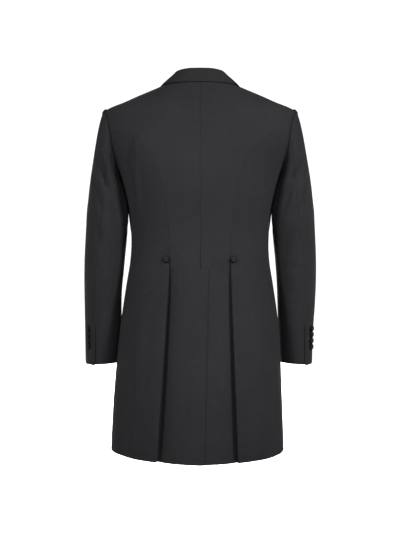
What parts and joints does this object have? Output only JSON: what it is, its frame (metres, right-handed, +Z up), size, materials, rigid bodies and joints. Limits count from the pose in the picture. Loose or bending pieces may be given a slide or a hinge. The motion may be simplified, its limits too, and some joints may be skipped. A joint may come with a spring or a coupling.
{
  "type": "peak-lapel frock coat",
  "caption": "Hollow knee-length tailored coat with turned-down collar, peak lapels, two-piece sleeves, a lapped back vent and pleated skirts under covered waist buttons.",
  "frame": {"origin": "the middle of the neck hole, level with the neck points, where the wearer's shoulders hold the coat", "axes": "+Z up, the front faces -Y, the wearer's left is +X"},
  "size_m": [0.57, 0.2953, 0.9492],
  "materials": {
    "wool": "matte worsted wool",
    "wool_side": "matte worsted wool",
    "wool_lapel": "matte worsted wool",
    "wool_sleeve": "matte worsted wool",
    "wool_collar": "matte worsted wool",
    "covered_button": "matte wool over a button"
  },
  "bodies": {
    "root": {"back_left": "wool", "side_body_left": "wool_side", "front_left": "wool", "lapel_left": "wool_lapel", "top_sleeve_left": "wool_sleeve", "under_sleeve_left": "wool_sleeve", "back_button_left": "covered_button", "cuff_button_left_1": "covered_button", "cuff_button_left_2": "covered_button", "cuff_button_left_3": "covered_button", "cuff_button_left_4": "covered_button", "back_right": "wool", "side_body_right": "wool_side", "front_right": "wool", "lapel_right": "wool_lapel", "top_sleeve_right": "wool_sleeve", "under_sleeve_right": "wool_sleeve", "back_button_right": "covered_button", "cuff_button_right_1": "covered_button", "cuff_button_right_2": "covered_button", "cuff_button_right_3": "covered_button", "cuff_button_right_4": "covered_button", "collar_stand": "wool_collar", "collar_leaf": "wool_collar", "front_button_1": "covered_button", "front_button_2": "covered_button"}
  },
  "joints": []
}
